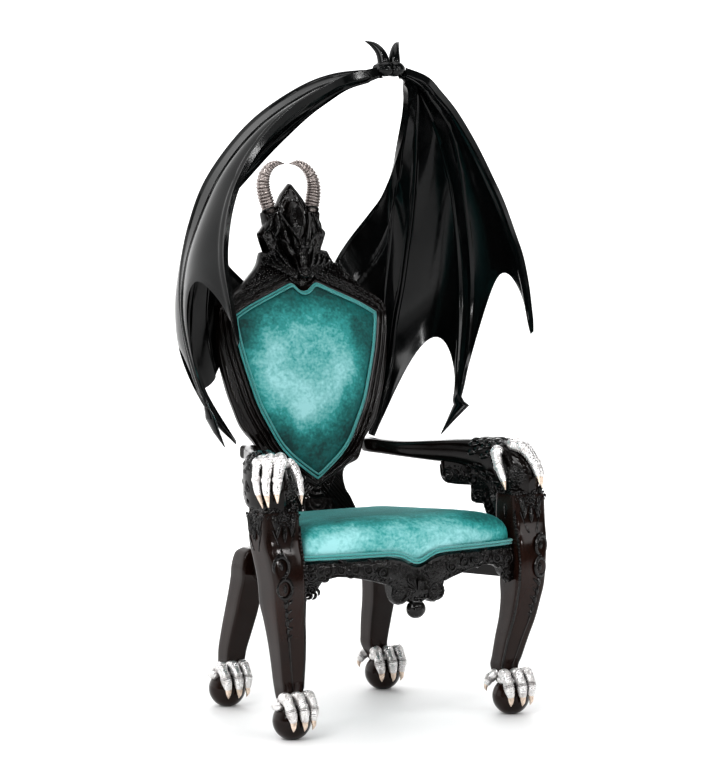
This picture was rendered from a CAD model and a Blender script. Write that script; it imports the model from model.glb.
# Looks of the bat-wing throne: carved lacquer, silver claws and horns, and velvet pads.
#
# Metres, +Z up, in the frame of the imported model. Sizes are given in the chair's own
# working frame, and every new piece is moved by FORWARD_SHIFT as its mesh is made.

import math
import random

import bmesh
import bpy
from mathutils import Matrix, Vector, noise


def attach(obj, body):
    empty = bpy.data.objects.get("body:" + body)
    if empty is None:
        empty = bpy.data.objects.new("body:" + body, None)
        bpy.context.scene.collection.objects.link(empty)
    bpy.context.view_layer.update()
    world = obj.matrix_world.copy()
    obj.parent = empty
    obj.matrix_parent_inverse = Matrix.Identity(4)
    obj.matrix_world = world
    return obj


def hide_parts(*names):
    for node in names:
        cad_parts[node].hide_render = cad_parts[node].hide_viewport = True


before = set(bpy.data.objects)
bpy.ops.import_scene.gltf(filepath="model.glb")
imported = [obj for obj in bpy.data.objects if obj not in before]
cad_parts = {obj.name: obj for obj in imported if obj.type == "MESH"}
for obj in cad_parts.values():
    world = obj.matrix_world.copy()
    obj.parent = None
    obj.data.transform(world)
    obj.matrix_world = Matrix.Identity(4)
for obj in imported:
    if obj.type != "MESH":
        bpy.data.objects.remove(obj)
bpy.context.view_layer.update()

random.seed(7)

FORWARD_SHIFT = 0.025
UP = Vector((0, 0, 1))

# Seat and arm heights
SEAT_RAIL_TOP = 0.4665
SEAT_RAIL_BOTTOM = 0.360
ARM_SEAM = 0.600
GAP = 0.0004

# Backrest
BACK_LEAN = math.radians(8.25)
BACK_FOOT = Vector((0.0, 0.1347, 0.525))
BOARD_THICKNESS = 0.030
CREST_SET_BACK = 0.018
PAD_RECESS = 0.012

# Feet
BALL_RADIUS = 0.051
BALL_CENTRE_HEIGHT = 0.049
FRONT_BALL = Vector((0.347, -0.309, BALL_CENTRE_HEIGHT))
BACK_BALL = Vector((0.254, 0.200, BALL_CENTRE_HEIGHT))


# Numbers and curves

def lerp(a, b, t):
    return a + (b - a) * t


def smooth_step(a, b, x):
    t = min(1.0, max(0.0, (x - a) / (b - a)))
    return t * t * (3 - 2 * t)


def blend_value(stops, t):
    """Read a value from (position, value) pairs, straight between them."""
    for (t0, v0), (t1, v1) in zip(stops[:-1], stops[1:]):
        if t <= t1:
            return lerp(v0, v1, max(0.0, (t - t0) / (t1 - t0)))
    return stops[-1][1]


def spline_rows(rows, count):
    """Rows of numbers spaced evenly by index along a smooth curve through the given ones."""
    rows = [tuple(2 * a - b for a, b in zip(rows[0], rows[1]))] + [tuple(r) for r in rows] \
        + [tuple(2 * a - b for a, b in zip(rows[-1], rows[-2]))]
    result = []
    spans = len(rows) - 3
    for i in range(count):
        place = spans * i / (count - 1)
        k = min(int(place), spans - 1)
        t = place - k
        p0, p1, p2, p3 = rows[k:k + 4]
        result.append(tuple(0.5 * (2 * b + (c - a) * t + (2 * a - 5 * b + 4 * c - d) * t * t
                                   + (3 * b - a - 3 * c + d) * t ** 3)
                            for a, b, c, d in zip(p0, p1, p2, p3)))
    return result


def curve_through(points, count):
    """Points spaced evenly by length along a smooth curve through the given ones."""
    dense = [Vector(p) for p in spline_rows([tuple(p) for p in points], (len(points) - 1) * 12 + 1)]
    lengths = [0.0]
    for a, b in zip(dense[:-1], dense[1:]):
        lengths.append(lengths[-1] + (b - a).length)
    result = []
    k = 0
    for i in range(count):
        want = lengths[-1] * i / (count - 1)
        while k < len(lengths) - 2 and lengths[k + 1] < want:
            k += 1
        span = lengths[k + 1] - lengths[k]
        result.append(dense[k].lerp(dense[k + 1], (want - lengths[k]) / span))
    return result


# Building meshes

class Shape:
    """Vertices and faces of one piece, collected form by form."""

    def __init__(self):
        self.verts = []
        self.faces = []

    def add(self, verts, faces):
        base = len(self.verts)
        self.verts += [Vector(v) for v in verts]
        self.faces += [tuple(base + i for i in face) for face in faces]

    def loft(self, rings):
        """A closed skin through rings of equal count, with a fan at each end."""
        count = len(rings[0])
        verts = [p for ring in rings for p in ring]
        faces = []
        for r in range(len(rings) - 1):
            for i in range(count):
                j = (i + 1) % count
                faces.append((r * count + i, r * count + j, (r + 1) * count + j, (r + 1) * count + i))
        for ring_index, flip in ((0, True), (len(rings) - 1, False)):
            start = ring_index * count
            verts.append(sum((Vector(verts[start + i]) for i in range(count)), Vector()) / count)
            for i in range(count):
                face = (start + i, start + (i + 1) % count, len(verts) - 1)
                faces.append(face[::-1] if flip else face)
        self.add(verts, faces)

    def sweep(self, path, radii, sides=8, squash=1.0, up=UP, round_ends=True):
        """A tube along a path with a radius for each point, flattened along up by squash."""
        rings = []
        for i, point in enumerate(path):
            along = (path[min(i + 1, len(path) - 1)] - path[max(i - 1, 0)]).normalized()
            across = along.cross(up)
            across = across.normalized() if across.length > 1e-6 else along.orthogonal().normalized()
            other = across.cross(along)
            stages = (1.0,)
            if round_ends and i in (0, len(path) - 1):
                stages = (0.35, 0.8, 1.0) if i == 0 else (1.0, 0.8, 0.35)
            for share in stages:
                back = math.sqrt(max(0.0, 1 - share * share)) * radii[i] * (-0.9 if i == 0 else 0.9)
                middle = point + along * back if share < 1 else point
                rings.append([middle + across * math.cos(2 * math.pi * k / sides) * radii[i] * share
                              + other * math.sin(2 * math.pi * k / sides) * radii[i] * share * squash
                              for k in range(sides)])
        self.loft(rings)

    def oval(self, centre, axes, sides=16, rows=10, relief=None, floor=None):
        """A ball stretched along three half axes. relief(turn, rise) pushes its skin out."""
        ax, ay, az = axes
        rings = []
        low = -math.pi / 2 + 0.03
        if floor is not None:
            low = math.asin(max(-1.0, (floor - centre.z) / az.length))
        for r in range(rows + 1):
            rise = lerp(low, math.pi / 2 - 0.03, r / rows)
            ring = []
            for k in range(sides):
                turn = 2 * math.pi * k / sides
                out = 1.0 + (relief(turn, rise) if relief else 0.0)
                ring.append(centre + (ax * math.cos(turn) * math.cos(rise) + ay * math.sin(turn) * math.cos(rise)
                                      + az * math.sin(rise)) * out)
            rings.append(ring)
        self.loft(rings)

    def hoop(self, centre, axis, up, major, minor, tall=1.0, around=28, sides=8):
        """A ring round an axis, stretched along up by tall."""
        side = axis.cross(up).normalized()
        verts = []
        faces = []
        for i in range(around):
            turn = 2 * math.pi * i / around
            spoke = side * math.cos(turn) + up * math.sin(turn) * tall
            for k in range(sides):
                angle = 2 * math.pi * k / sides
                verts.append(centre + spoke * (major + minor * math.cos(angle)) + axis * minor * math.sin(angle))
                faces.append((i * sides + k, i * sides + (k + 1) % sides,
                              ((i + 1) % around) * sides + (k + 1) % sides, ((i + 1) % around) * sides + k))
        self.add(verts, faces)

    def sheet(self, front, back, wide, tall):
        """A slab between two grids of points, stored column by column."""
        total = wide * tall
        faces = []
        for i in range(wide - 1):
            for r in range(tall - 1):
                a = i * tall + r
                faces.append((a, a + 1, a + tall + 1, a + tall))
                faces.append((total + a + tall, total + a + tall + 1, total + a + 1, total + a))
            for r in (0, tall - 1):
                a = i * tall + r
                faces.append((a, a + tall, total + a + tall, total + a))
        for i in (0, wide - 1):
            for r in range(tall - 1):
                a = i * tall + r
                faces.append((a, a + 1, total + a + 1, total + a))
        self.add(list(front) + list(back), faces)


def build_object(name, shape, surface, nodes=(), smooth_angle=40, mirror=False, shift=True):
    mesh = bpy.data.meshes.new(name)
    sign = -1.0 if mirror else 1.0
    offset = FORWARD_SHIFT if shift else 0.0
    mesh.from_pydata([(v[0] * sign, v[1] + offset, v[2]) for v in shape.verts], [], shape.faces)
    work = bmesh.new()
    work.from_mesh(mesh)
    bmesh.ops.dissolve_degenerate(work, edges=work.edges, dist=1e-6)
    bmesh.ops.recalc_face_normals(work, faces=work.faces)
    work.to_mesh(mesh)
    work.free()
    mesh.validate()
    made = bpy.data.objects.new(name, mesh)
    bpy.context.scene.collection.objects.link(made)
    mesh.materials.append(surface)
    mesh.shade_smooth()
    mesh.set_sharp_from_angle(angle=math.radians(smooth_angle))
    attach(made, "root")
    if nodes:
        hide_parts(*nodes)
    return made


def build_pair(name, shape, surface, node=None, smooth_angle=40):
    """The sitter's left piece and its mirror image on the right."""
    made = []
    for side, mirror in (("left", False), ("right", True)):
        nodes = ()
        if node:
            nodes = (node.replace("SIDE", side),)
        made.append(build_object(name.replace("SIDE", side), shape, surface, nodes,
                                 smooth_angle, mirror))
    return made


# Materials

def new_material(name):
    made = bpy.data.materials.new(name)
    made.use_nodes = True
    tree = made.node_tree
    return made, tree, tree.nodes["Principled BSDF"]


def texture(tree, kind, scale, detail=3.0, extra=(), stretch=(1, 1, 1)):
    """A texture node on the object's own coordinates."""
    place = tree.nodes.new("ShaderNodeTexCoord")
    mapping = tree.nodes.new("ShaderNodeMapping")
    mapping.inputs["Scale"].default_value = stretch
    tree.links.new(place.outputs["Object"], mapping.inputs["Vector"])
    node = tree.nodes.new(kind)
    node.inputs["Scale"].default_value = scale
    if "Detail" in node.inputs:
        node.inputs["Detail"].default_value = detail
    for key, value in extra:
        node.inputs[key].default_value = value
    tree.links.new(mapping.outputs["Vector"], node.inputs["Vector"])
    return node


def ramp(tree, source, stops):
    node = tree.nodes.new("ShaderNodeValToRGB")
    band = node.color_ramp
    while len(band.elements) < len(stops):
        band.elements.new(0.5)
    for element, (place, colour) in zip(band.elements, stops):
        element.position = place
        element.color = (*colour, 1.0) if len(colour) == 3 else colour
    tree.links.new(source, node.inputs["Fac"])
    return node


def grey(v):
    return (v, v, v)


def maths(tree, operation, a, b=None):
    node = tree.nodes.new("ShaderNodeMath")
    node.operation = operation
    for index, value in enumerate((a, b)):
        if value is None:
            continue
        if isinstance(value, (int, float)):
            node.inputs[index].default_value = value
        else:
            tree.links.new(value, node.inputs[index])
    return node.outputs[0]


def mix_colour(tree, share, a, b, blend="MIX"):
    node = tree.nodes.new("ShaderNodeMix")
    node.data_type = "RGBA"
    node.blend_type = blend
    for socket, value in ((node.inputs[0], share), (node.inputs[6], a), (node.inputs[7], b)):
        if hasattr(value, "is_linked") or hasattr(value, "links"):
            tree.links.new(value, socket)
        elif isinstance(value, (int, float)):
            socket.default_value = value
        else:
            socket.default_value = (*value, 1.0)
    return node.outputs[2]


def bump(tree, shader, height, strength, distance, before=None):
    node = tree.nodes.new("ShaderNodeBump")
    node.inputs["Strength"].default_value = strength
    node.inputs["Distance"].default_value = distance
    tree.links.new(height, node.inputs["Height"])
    if before:
        tree.links.new(before.outputs["Normal"], node.inputs["Normal"])
    tree.links.new(node.outputs["Normal"], shader.inputs["Normal"])
    return node


def lacquer_material(name, carving=0.0, tint=(0.0024, 0.0018, 0.0016), gloss_range=(0.09, 0.20), index=1.34):
    """Thick black lacquer over wood, with a faint brown cast, orange peel and fine dust."""
    made, tree, shader = new_material(name)
    tone = texture(tree, "ShaderNodeTexNoise", 5.0, 2.0)
    warm = ramp(tree, tone.outputs["Fac"], ((0.35, tint), (0.7, (tint[0] * 2.0, tint[1] * 1.35, tint[2] * 1.15))))
    tree.links.new(warm.outputs["Color"], shader.inputs["Base Color"])
    dust = texture(tree, "ShaderNodeTexNoise", 34.0, 6.0)
    gloss = ramp(tree, dust.outputs["Fac"], ((0.3, grey(gloss_range[0])), (0.75, grey(gloss_range[1]))))
    tree.links.new(gloss.outputs["Color"], shader.inputs["Roughness"])
    shader.inputs["IOR"].default_value = index
    peel = texture(tree, "ShaderNodeTexNoise", 210.0, 2.0)
    first = bump(tree, shader, peel.outputs["Fac"], 0.05, 0.0006)
    if carving:
        cuts = texture(tree, "ShaderNodeTexVoronoi", 135.0)
        rounded = maths(tree, "SUBTRACT", 1.0, cuts.outputs["Distance"])
        bump(tree, shader, rounded, carving, 0.0022, first)
        glints = texture(tree, "ShaderNodeTexVoronoi", 88.0)
        spots = ramp(tree, glints.outputs["Distance"], ((0.11, grey(1.0)), (0.17, grey(0.0))))
        gathered = texture(tree, "ShaderNodeTexNoise", 42.0, 2.0)
        where = ramp(tree, gathered.outputs["Fac"], ((0.50, grey(0.0)), (0.58, grey(1.0))))
        share = maths(tree, "MULTIPLY", spots.outputs["Color"], where.outputs["Color"])
        tree.links.new(maths(tree, "MULTIPLY", share, 0.45), shader.inputs["Metallic"])
        tree.links.new(mix_colour(tree, share, warm.outputs["Color"], (0.95, 0.95, 0.95)),
                       shader.inputs["Base Color"])
    return made


def silver_material(name, warmth):
    """Worn silver leaf: bright on the ridges and dull, browned in the hollows."""
    made, tree, shader = new_material(name)
    shader.inputs["Metallic"].default_value = 0.80
    stain = texture(tree, "ShaderNodeTexNoise", 60.0, 6.0, (("Distortion", 0.6),))
    colour = ramp(tree, stain.outputs["Fac"],
                  ((0.28, (0.46 * warmth[0], 0.43 * warmth[1], 0.42 * warmth[2])),
                   (0.42, (0.74 * warmth[0], 0.72 * warmth[1], 0.71 * warmth[2])),
                   (0.66, (0.93 * warmth[0], 0.92 * warmth[1], 0.92 * warmth[2]))))
    hollow = tree.nodes.new("ShaderNodeAmbientOcclusion")
    hollow.inputs["Distance"].default_value = 0.012
    hollow.samples = 8
    dark = ramp(tree, hollow.outputs["AO"], ((0.30, (0.06, 0.05, 0.05)), (0.72, (1.0, 1.0, 1.0))))
    tree.links.new(mix_colour(tree, 0.95, colour.outputs["Color"], dark.outputs["Color"], "MULTIPLY"),
                   shader.inputs["Base Color"])
    wear = ramp(tree, stain.outputs["Fac"], ((0.3, grey(0.38)), (0.7, grey(0.20))))
    tree.links.new(wear.outputs["Color"], shader.inputs["Roughness"])
    grain = texture(tree, "ShaderNodeTexNoise", 320.0, 4.0)
    first = bump(tree, shader, grain.outputs["Fac"], 0.18, 0.0006)
    dents = texture(tree, "ShaderNodeTexVoronoi", 190.0)
    bump(tree, shader, dents.outputs["Distance"], 0.12, 0.001, first)
    return made


def velvet_material(name, pale_at, pale_reach):
    """Crushed teal velvet: the nap lies in patches, pale where it leans to the light."""
    made, tree, shader = new_material(name)
    patches = texture(tree, "ShaderNodeTexNoise", 4.2, 3.0, (("Distortion", 1.1),), (1.0, 1.2, 1.1))
    crushed = texture(tree, "ShaderNodeTexNoise", 30.0, 5.0, (("Distortion", 1.4),), (1.0, 1.0, 1.5))
    mottle = texture(tree, "ShaderNodeTexNoise", 130.0, 4.0)
    blend = maths(tree, "ADD", maths(tree, "MULTIPLY", patches.outputs["Fac"], 0.36),
                  maths(tree, "MULTIPLY", crushed.outputs["Fac"], 0.16))
    blend = maths(tree, "ADD", blend, maths(tree, "MULTIPLY", mottle.outputs["Fac"], 0.16))
    blend = maths(tree, "ADD", blend, 0.16)
    whole = tree.nodes.new("ShaderNodeTexCoord")
    centred = tree.nodes.new("ShaderNodeMapping")
    centred.vector_type = "TEXTURE"
    centred.inputs["Location"].default_value = pale_at
    centred.inputs["Scale"].default_value = pale_reach
    tree.links.new(whole.outputs["Generated"], centred.inputs["Vector"])
    pool = tree.nodes.new("ShaderNodeTexGradient")
    pool.gradient_type = "SPHERICAL"
    tree.links.new(centred.outputs["Vector"], pool.inputs["Vector"])
    lit = ramp(tree, pool.outputs["Fac"], ((0.0, grey(0.0)), (0.50, grey(0.26))))
    blend = maths(tree, "ADD", maths(tree, "SUBTRACT", blend, 0.115), lit.outputs["Color"])
    colour = ramp(tree, blend, ((0.36, (0.000, 0.038, 0.036)), (0.46, (0.000, 0.125, 0.118)),
                                (0.54, (0.020, 0.270, 0.260)), (0.68, (0.290, 0.600, 0.610))))
    tree.links.new(colour.outputs["Color"], shader.inputs["Base Color"])
    rough = ramp(tree, blend, ((0.4, grey(0.75)), (0.65, grey(0.48))))
    tree.links.new(rough.outputs["Color"], shader.inputs["Roughness"])
    shader.inputs["Sheen Weight"].default_value = 0.45
    shader.inputs["Sheen Roughness"].default_value = 0.3
    shader.inputs["Sheen Tint"].default_value = (0.25, 0.90, 0.88, 1.0)
    first = bump(tree, shader, crushed.outputs["Fac"], 0.30, 0.003)
    pile = texture(tree, "ShaderNodeTexNoise", 900.0, 2.0)
    bump(tree, shader, pile.outputs["Fac"], 0.25, 0.0008, first)
    return made


def piping_material(name):
    """Satin-faced cord in the same teal, with a fine twist."""
    made, tree, shader = new_material(name)
    twist = texture(tree, "ShaderNodeTexWave", 190.0, 1.0, (("Distortion", 1.0),), (1.0, 0.8, 1.3))
    colour = ramp(tree, twist.outputs["Fac"], ((0.1, (0.003, 0.150, 0.145)), (0.8, (0.060, 0.380, 0.370))))
    tree.links.new(colour.outputs["Color"], shader.inputs["Base Color"])
    shader.inputs["Roughness"].default_value = 0.45
    shader.inputs["Sheen Weight"].default_value = 0.5
    bump(tree, shader, twist.outputs["Fac"], 0.4, 0.0008)
    return made


LACQUER = lacquer_material("black_lacquer_smooth")
LEG_LACQUER = lacquer_material("black_lacquer_leg", 0.0, (0.0082, 0.0044, 0.0032))
CARVED = lacquer_material("black_lacquer_carved", 0.30, (0.0012, 0.0010, 0.0009), (0.03, 0.08), 1.45)
WING_SKIN = lacquer_material("black_lacquer_wing", 0.0, (0.0010, 0.0016, 0.0018), (0.12, 0.22), 1.33)
SILVER = silver_material("silver_leaf", (1.0, 1.0, 1.0))
HORN_SILVER = silver_material("horn_silver_leaf", (0.40, 0.36, 0.345))
NAIL = silver_material("champagne_leaf", (1.0, 0.84, 0.70))
BACK_VELVET = velvet_material("teal_crushed_velvet_back", (0.44, 0.5, 0.57), (0.50, 3.0, 0.42))
SEAT_VELVET = velvet_material("teal_crushed_velvet_seat", (0.45, 0.00, 0.35), (0.75, 0.36, 1.0))
PIPING = piping_material("teal_piping")


# Legs

# height, inner x, outer x, front y, back y, cut corner
FRONT_LEG = (
    (0.600, 0.334, 0.443, -0.336, -0.241, 0.020),
    (0.525, 0.334, 0.442, -0.343, -0.241, 0.020),
    (0.480, 0.334, 0.436, -0.358, -0.250, 0.020),
    (0.420, 0.334, 0.428, -0.367, -0.260, 0.019),
    (0.360, 0.334, 0.423, -0.366, -0.262, 0.018),
    (0.315, 0.332, 0.415, -0.358, -0.270, 0.015),
    (0.263, 0.326, 0.404, -0.349, -0.272, 0.013),
    (0.210, 0.319, 0.391, -0.334, -0.266, 0.011),
    (0.158, 0.315, 0.379, -0.321, -0.258, 0.010),
    (0.126, 0.313, 0.371, -0.313, -0.254, 0.009),
    (0.085, 0.321, 0.372, -0.323, -0.272, 0.009),
)
BACK_LEG = (
    (0.444, 0.178, 0.226, 0.115, 0.170, 0.016),
    (0.430, 0.172, 0.241, 0.115, 0.184, 0.014),
    (0.395, 0.172, 0.249, 0.115, 0.190, 0.012),
    (0.359, 0.172, 0.250, 0.115, 0.194, 0.011),
    (0.315, 0.181, 0.254, 0.127, 0.201, 0.011),
    (0.263, 0.188, 0.259, 0.139, 0.211, 0.010),
    (0.210, 0.194, 0.261, 0.159, 0.226, 0.009),
    (0.158, 0.201, 0.262, 0.177, 0.240, 0.009),
    (0.126, 0.205, 0.262, 0.183, 0.242, 0.008),
    (0.085, 0.222, 0.272, 0.175, 0.227, 0.008),
)


def rounded_box_ring(x0, x1, y0, y1, z, radius, corner=5, flat=4):
    """A square section with rounded corners, with points along its flats for carving."""
    ring = []
    corners = ((x1 - radius, y0 + radius, -90), (x1 - radius, y1 - radius, 0),
               (x0 + radius, y1 - radius, 90), (x0 + radius, y0 + radius, 180))
    for number, (cx, cy, start) in enumerate(corners):
        for k in range(corner + 1):
            angle = math.radians(start + 90 * k / corner)
            ring.append(Vector((cx + radius * math.cos(angle), cy + radius * math.sin(angle), z)))
        nx, ny, turn = corners[(number + 1) % 4]
        angle = math.radians(turn)
        last = ring[-1]
        target = Vector((nx + radius * math.cos(angle), ny + radius * math.sin(angle), z))
        for k in range(1, flat):
            ring.append(last.lerp(target, k / flat))
    return ring


def leg_section(sections, z):
    for a, b in zip(sections[:-1], sections[1:]):
        if z >= b[0]:
            t = (z - b[0]) / (a[0] - b[0])
            return [lerp(q, p, t) for p, q in zip(a, b)]
    return list(sections[-1])


def leg_post(shape, sections):
    rings = []
    for z, x0, x1, y0, y1, cut in spline_rows(sections, 64):
        rings.append(rounded_box_ring(x0, x1, y0, y1, z, cut * 0.8))
    shape.loft(rings)


def leg_front(z):
    """Middle of the carving on the front face of a front leg, near its outer corner."""
    _, _, x1, y0, _, _ = leg_section(FRONT_LEG, z)
    return Vector((x1 - 0.026, y0 + 0.001, z))


FACE_OUT = Vector((0.3, -1, 0)).normalized()
FACE_ALONG = Vector((1, 0.3, 0)).normalized()
# height, radius and stretch of the two open rings, and height, half width, half height of the drops
LEG_RINGS = ((0.463, 0.0200, 1.34), (0.406, 0.0190, 1.30))
LEG_DROPS = ((0.366, 0.0145, 0.014), (0.342, 0.0120, 0.013), (0.319, 0.0130, 0.014), (0.296, 0.0100, 0.013),
             (0.276, 0.0085, 0.012))


def flat_leaf(shape, place, u, v, angle, length, width, height, curl=0.0):
    """A leaf lying on a surface: place(u, v, n) gives points, angle is its direction."""
    path = []
    radii = []
    steps = 9
    for i in range(steps + 1):
        t = i / steps
        turn = angle + curl * t
        r = length * t
        path.append(place(u + r * math.cos(turn), v + r * math.sin(turn), height * math.sin(math.pi * t) * 0.5))
        radii.append(max(0.0006, width * math.sin(math.pi * (0.08 + 0.86 * t)) ** 0.75 * (1 - 0.35 * t)))
    out = (place(u, v, 0.01) - place(u, v, 0.0)).normalized()
    shape.sweep(path, radii, 8, height / width, out)
    shape.sweep([p + out * height * 0.80 for p in path[1:-1]], [0.0011] * (steps - 1), 5, 1.0, out)


def volute(shape, place, u, v, radius, turns, hand, start, width, lift=0.0):
    """A carved scroll lying on a surface, with a bead in its eye."""
    path = []
    radii = []
    steps = int(16 * turns)
    for i in range(steps + 1):
        t = i / steps
        r = radius * (1 - 0.82 * t ** 0.85)
        turn = start + hand * 2 * math.pi * turns * t
        path.append(place(u + r * math.cos(turn), v + r * math.sin(turn), lift))
        radii.append(width * (1 - 0.45 * t))
    out = (place(u, v, 0.01) - place(u, v, 0.0)).normalized()
    shape.sweep(path, radii, 7, 0.9, out)
    side = (place(u + 0.001, v, 0.0) - place(u, v, 0.0)).normalized()
    shape.oval(place(u, v, lift), (side * width * 1.3, out * width * 1.3, side.cross(out) * width * 1.3), 10, 7)


def bead_row(shape, points, radius, out):
    side = out.orthogonal().normalized()
    for point in points:
        shape.oval(point, (side * radius, out.cross(side) * radius, out * radius), 8, 5)


def knobs(shape, place, region, pitch, size, keep, seed):
    """Small rounded knobs packed over a surface, each a little different."""
    chance = random.Random(seed)
    u0, u1, v0, v1 = region
    v = v0
    row = 0
    while v <= v1:
        u = u0 + (pitch / 2 if row % 2 else 0.0)
        while u <= u1:
            pu = u + chance.uniform(-0.3, 0.3) * pitch
            pv = v + chance.uniform(-0.3, 0.3) * pitch
            radius = size * chance.uniform(0.7, 1.25)
            stretch = chance.uniform(0.8, 1.7)
            turn = chance.uniform(0, math.pi)
            if keep(pu, pv):
                centre = place(pu, pv, 0.0)
                out = (place(pu, pv, 0.01) - centre).normalized()
                side = (place(pu + 0.001, pv, 0.0) - centre).normalized()
                other = out.cross(side)
                long_way = side * math.cos(turn) + other * math.sin(turn)
                shape.oval(centre, (long_way * radius * stretch, out.cross(long_way) * radius, out * radius * 0.9),
                           6, 4)
            u += pitch
        v += pitch * 0.87
        row += 1


def front_leg_carving(shape):
    """Rings, split bosses and leaf drops down the front face."""
    for z, major, tall in LEG_RINGS:
        middle = leg_front(z)
        shape.hoop(middle + FACE_OUT * 0.001, FACE_OUT, UP, major, 0.0050, tall)
        shape.oval(middle - FACE_OUT * 0.001, (FACE_OUT * 0.0060, FACE_ALONG * 0.0070, UP * 0.0135), 14, 10)
        for s in (1, -1):
            shape.oval(middle + UP * s * tall * (major + 0.005), (FACE_OUT * 0.0055, FACE_ALONG * 0.0060, UP * 0.0040),
                       10, 8)
    for z, half_width, half_height in LEG_DROPS:
        base = leg_front(z)
        shape.oval(base, (FACE_OUT * 0.0065, FACE_ALONG * half_width * 0.5, UP * half_height), 10, 8)
        for s in (1, -1):
            shape.oval(base + FACE_ALONG * s * half_width * 0.75 - FACE_OUT * 0.002 + UP * 0.003,
                       (FACE_OUT * 0.005, (FACE_ALONG * s + UP * 0.9).normalized() * half_width * 0.75,
                        (UP - FACE_ALONG * s * 0.9).normalized() * 0.0035), 8, 6)
    ridge = [leg_front(lerp(0.268, 0.120, i / 14)) + FACE_OUT * 0.0005 for i in range(15)]
    shape.sweep(ridge, [lerp(0.0034, 0.0016, i / 14) for i in range(15)], 8)


def arris_rim(shape):
    """A beaded rim down the inner front edge, with a fine line beside it."""
    rim = []
    for i in range(46):
        z = lerp(0.560, 0.112, i / 45)
        _, x0, _, y0, _, cut = leg_section(FRONT_LEG, z)
        rim.append(Vector((x0 + cut * 0.22, y0 + cut * 0.22, z)))
    shape.sweep(rim, [0.0034] * len(rim), 8)
    bead_row(shape, rim[2:20], 0.0046, Vector((-1, -1, 0)).normalized())


def leg_top_carving(shape):
    """Acanthus leaves and small rosettes round the top of a front leg, and V grooves below them."""
    z0, x0, x1, y0, y1, cut = FRONT_LEG[0]

    def front(u, v, n):
        _, _, _, fy, _, _ = leg_section(FRONT_LEG, v)
        return Vector((u, fy - n, v))

    def outer(u, v, n):
        _, _, fx, _, _, _ = leg_section(FRONT_LEG, v)
        return Vector((fx + n, u, v))

    def inner(u, v, n):
        return Vector((x0 - n, u, v))

    for place, low, high in ((front, x0 + 0.010, x1 - 0.012), (outer, y0 + 0.012, y1 - 0.006)):
        middle = (low + high) / 2
        half = (high - low) / 2
        knobs(shape, place, (low - 0.006, high + 0.006, 0.540, 0.598), 0.0078, 0.0030,
              lambda u, v: v > 0.556 + 0.026 * abs(u - middle) / half, int(1000 * low))
        volute(shape, place, middle, 0.585, 0.011, 1.4, 1, 0.5, 0.0030, 0.001)
        for k in range(8):
            angle = k * math.pi / 4
            shape.oval(place(middle + 0.0155 * math.cos(angle), 0.585 + 0.0155 * math.sin(angle), 0.0005),
                       (Vector((0.0045, 0, 0)), Vector((0, 0.0045, 0)), UP * 0.0045), 8, 6)
        for s in (-1, 1):
            flat_leaf(shape, place, middle + s * 0.012, 0.570, -math.pi / 2 + s * 0.75, 0.034, 0.008, 0.005, -s * 0.5)
            flat_leaf(shape, place, middle + s * 0.022, 0.592, -math.pi / 2 + s * 0.35, 0.040, 0.0075, 0.005, -s * 0.3)
            flat_leaf(shape, place, middle + s * 0.030, 0.596, -math.pi / 2, 0.030, 0.007, 0.004)
        flat_leaf(shape, place, middle, 0.568, -math.pi / 2, 0.044, 0.0085, 0.006)
        for s in (-1, 1):
            path = [place(middle + s * lerp(0.034, 0.012, t), lerp(0.556, 0.500, t), 0.0004)
                    for t in (i / 12 for i in range(13))]
            shape.sweep(path, [0.0022] * 13, 6)
    flat_leaf(shape, inner, (y0 + y1) / 2 - 0.01, 0.575, -math.pi / 2, 0.040, 0.010, 0.0005)


# One toe from the side: distance out from the ball's middle, height, radius
TOE = ((0.010, 0.112, 0.013), (0.030, 0.112, 0.015), (0.047, 0.098, 0.012), (0.056, 0.080, 0.014),
       (0.061, 0.060, 0.0105))
NAIL_PATH = ((0.0605, 0.062, 0.0098), (0.063, 0.050, 0.0085), (0.0635, 0.040, 0.0062), (0.060, 0.030, 0.0014))
TOE_TURNS = (-34, -3, 26)
HEEL_TURN = -140
HEEL_REACH = 1.06


JOINTS = (0.30, 0.70)


def folded(radius, t):
    """A digit's radius, with skin folds bunched at its joints."""
    near = max(math.exp(-((t - joint) / 0.10) ** 2) for joint in JOINTS)
    fold = (0.5 + 0.5 * math.cos(2 * math.pi * t / 0.052)) ** 2
    return radius * (1.0 + 0.05 * near - 0.17 * fold * (0.25 + 0.75 * near))


# The toe behind is shorter and hugs the ball
HEEL = ((0.010, 0.112, 0.013), (0.030, 0.112, 0.014), (0.046, 0.104, 0.0135), (0.057, 0.093, 0.0130),
        (0.062, 0.082, 0.0100))
HEEL_NAIL = ((0.062, 0.083, 0.0095), (0.066, 0.074, 0.0080), (0.067, 0.066, 0.0050), (0.065, 0.059, 0.0012))
PAW_SPREAD = 0.028
# The swellings at the paw's sides: outward, back, height, size
PAW_SIDES = ((0.035, 0.004, 0.044, 0.0215), (-0.026, -0.006, 0.048, 0.0180))


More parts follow.
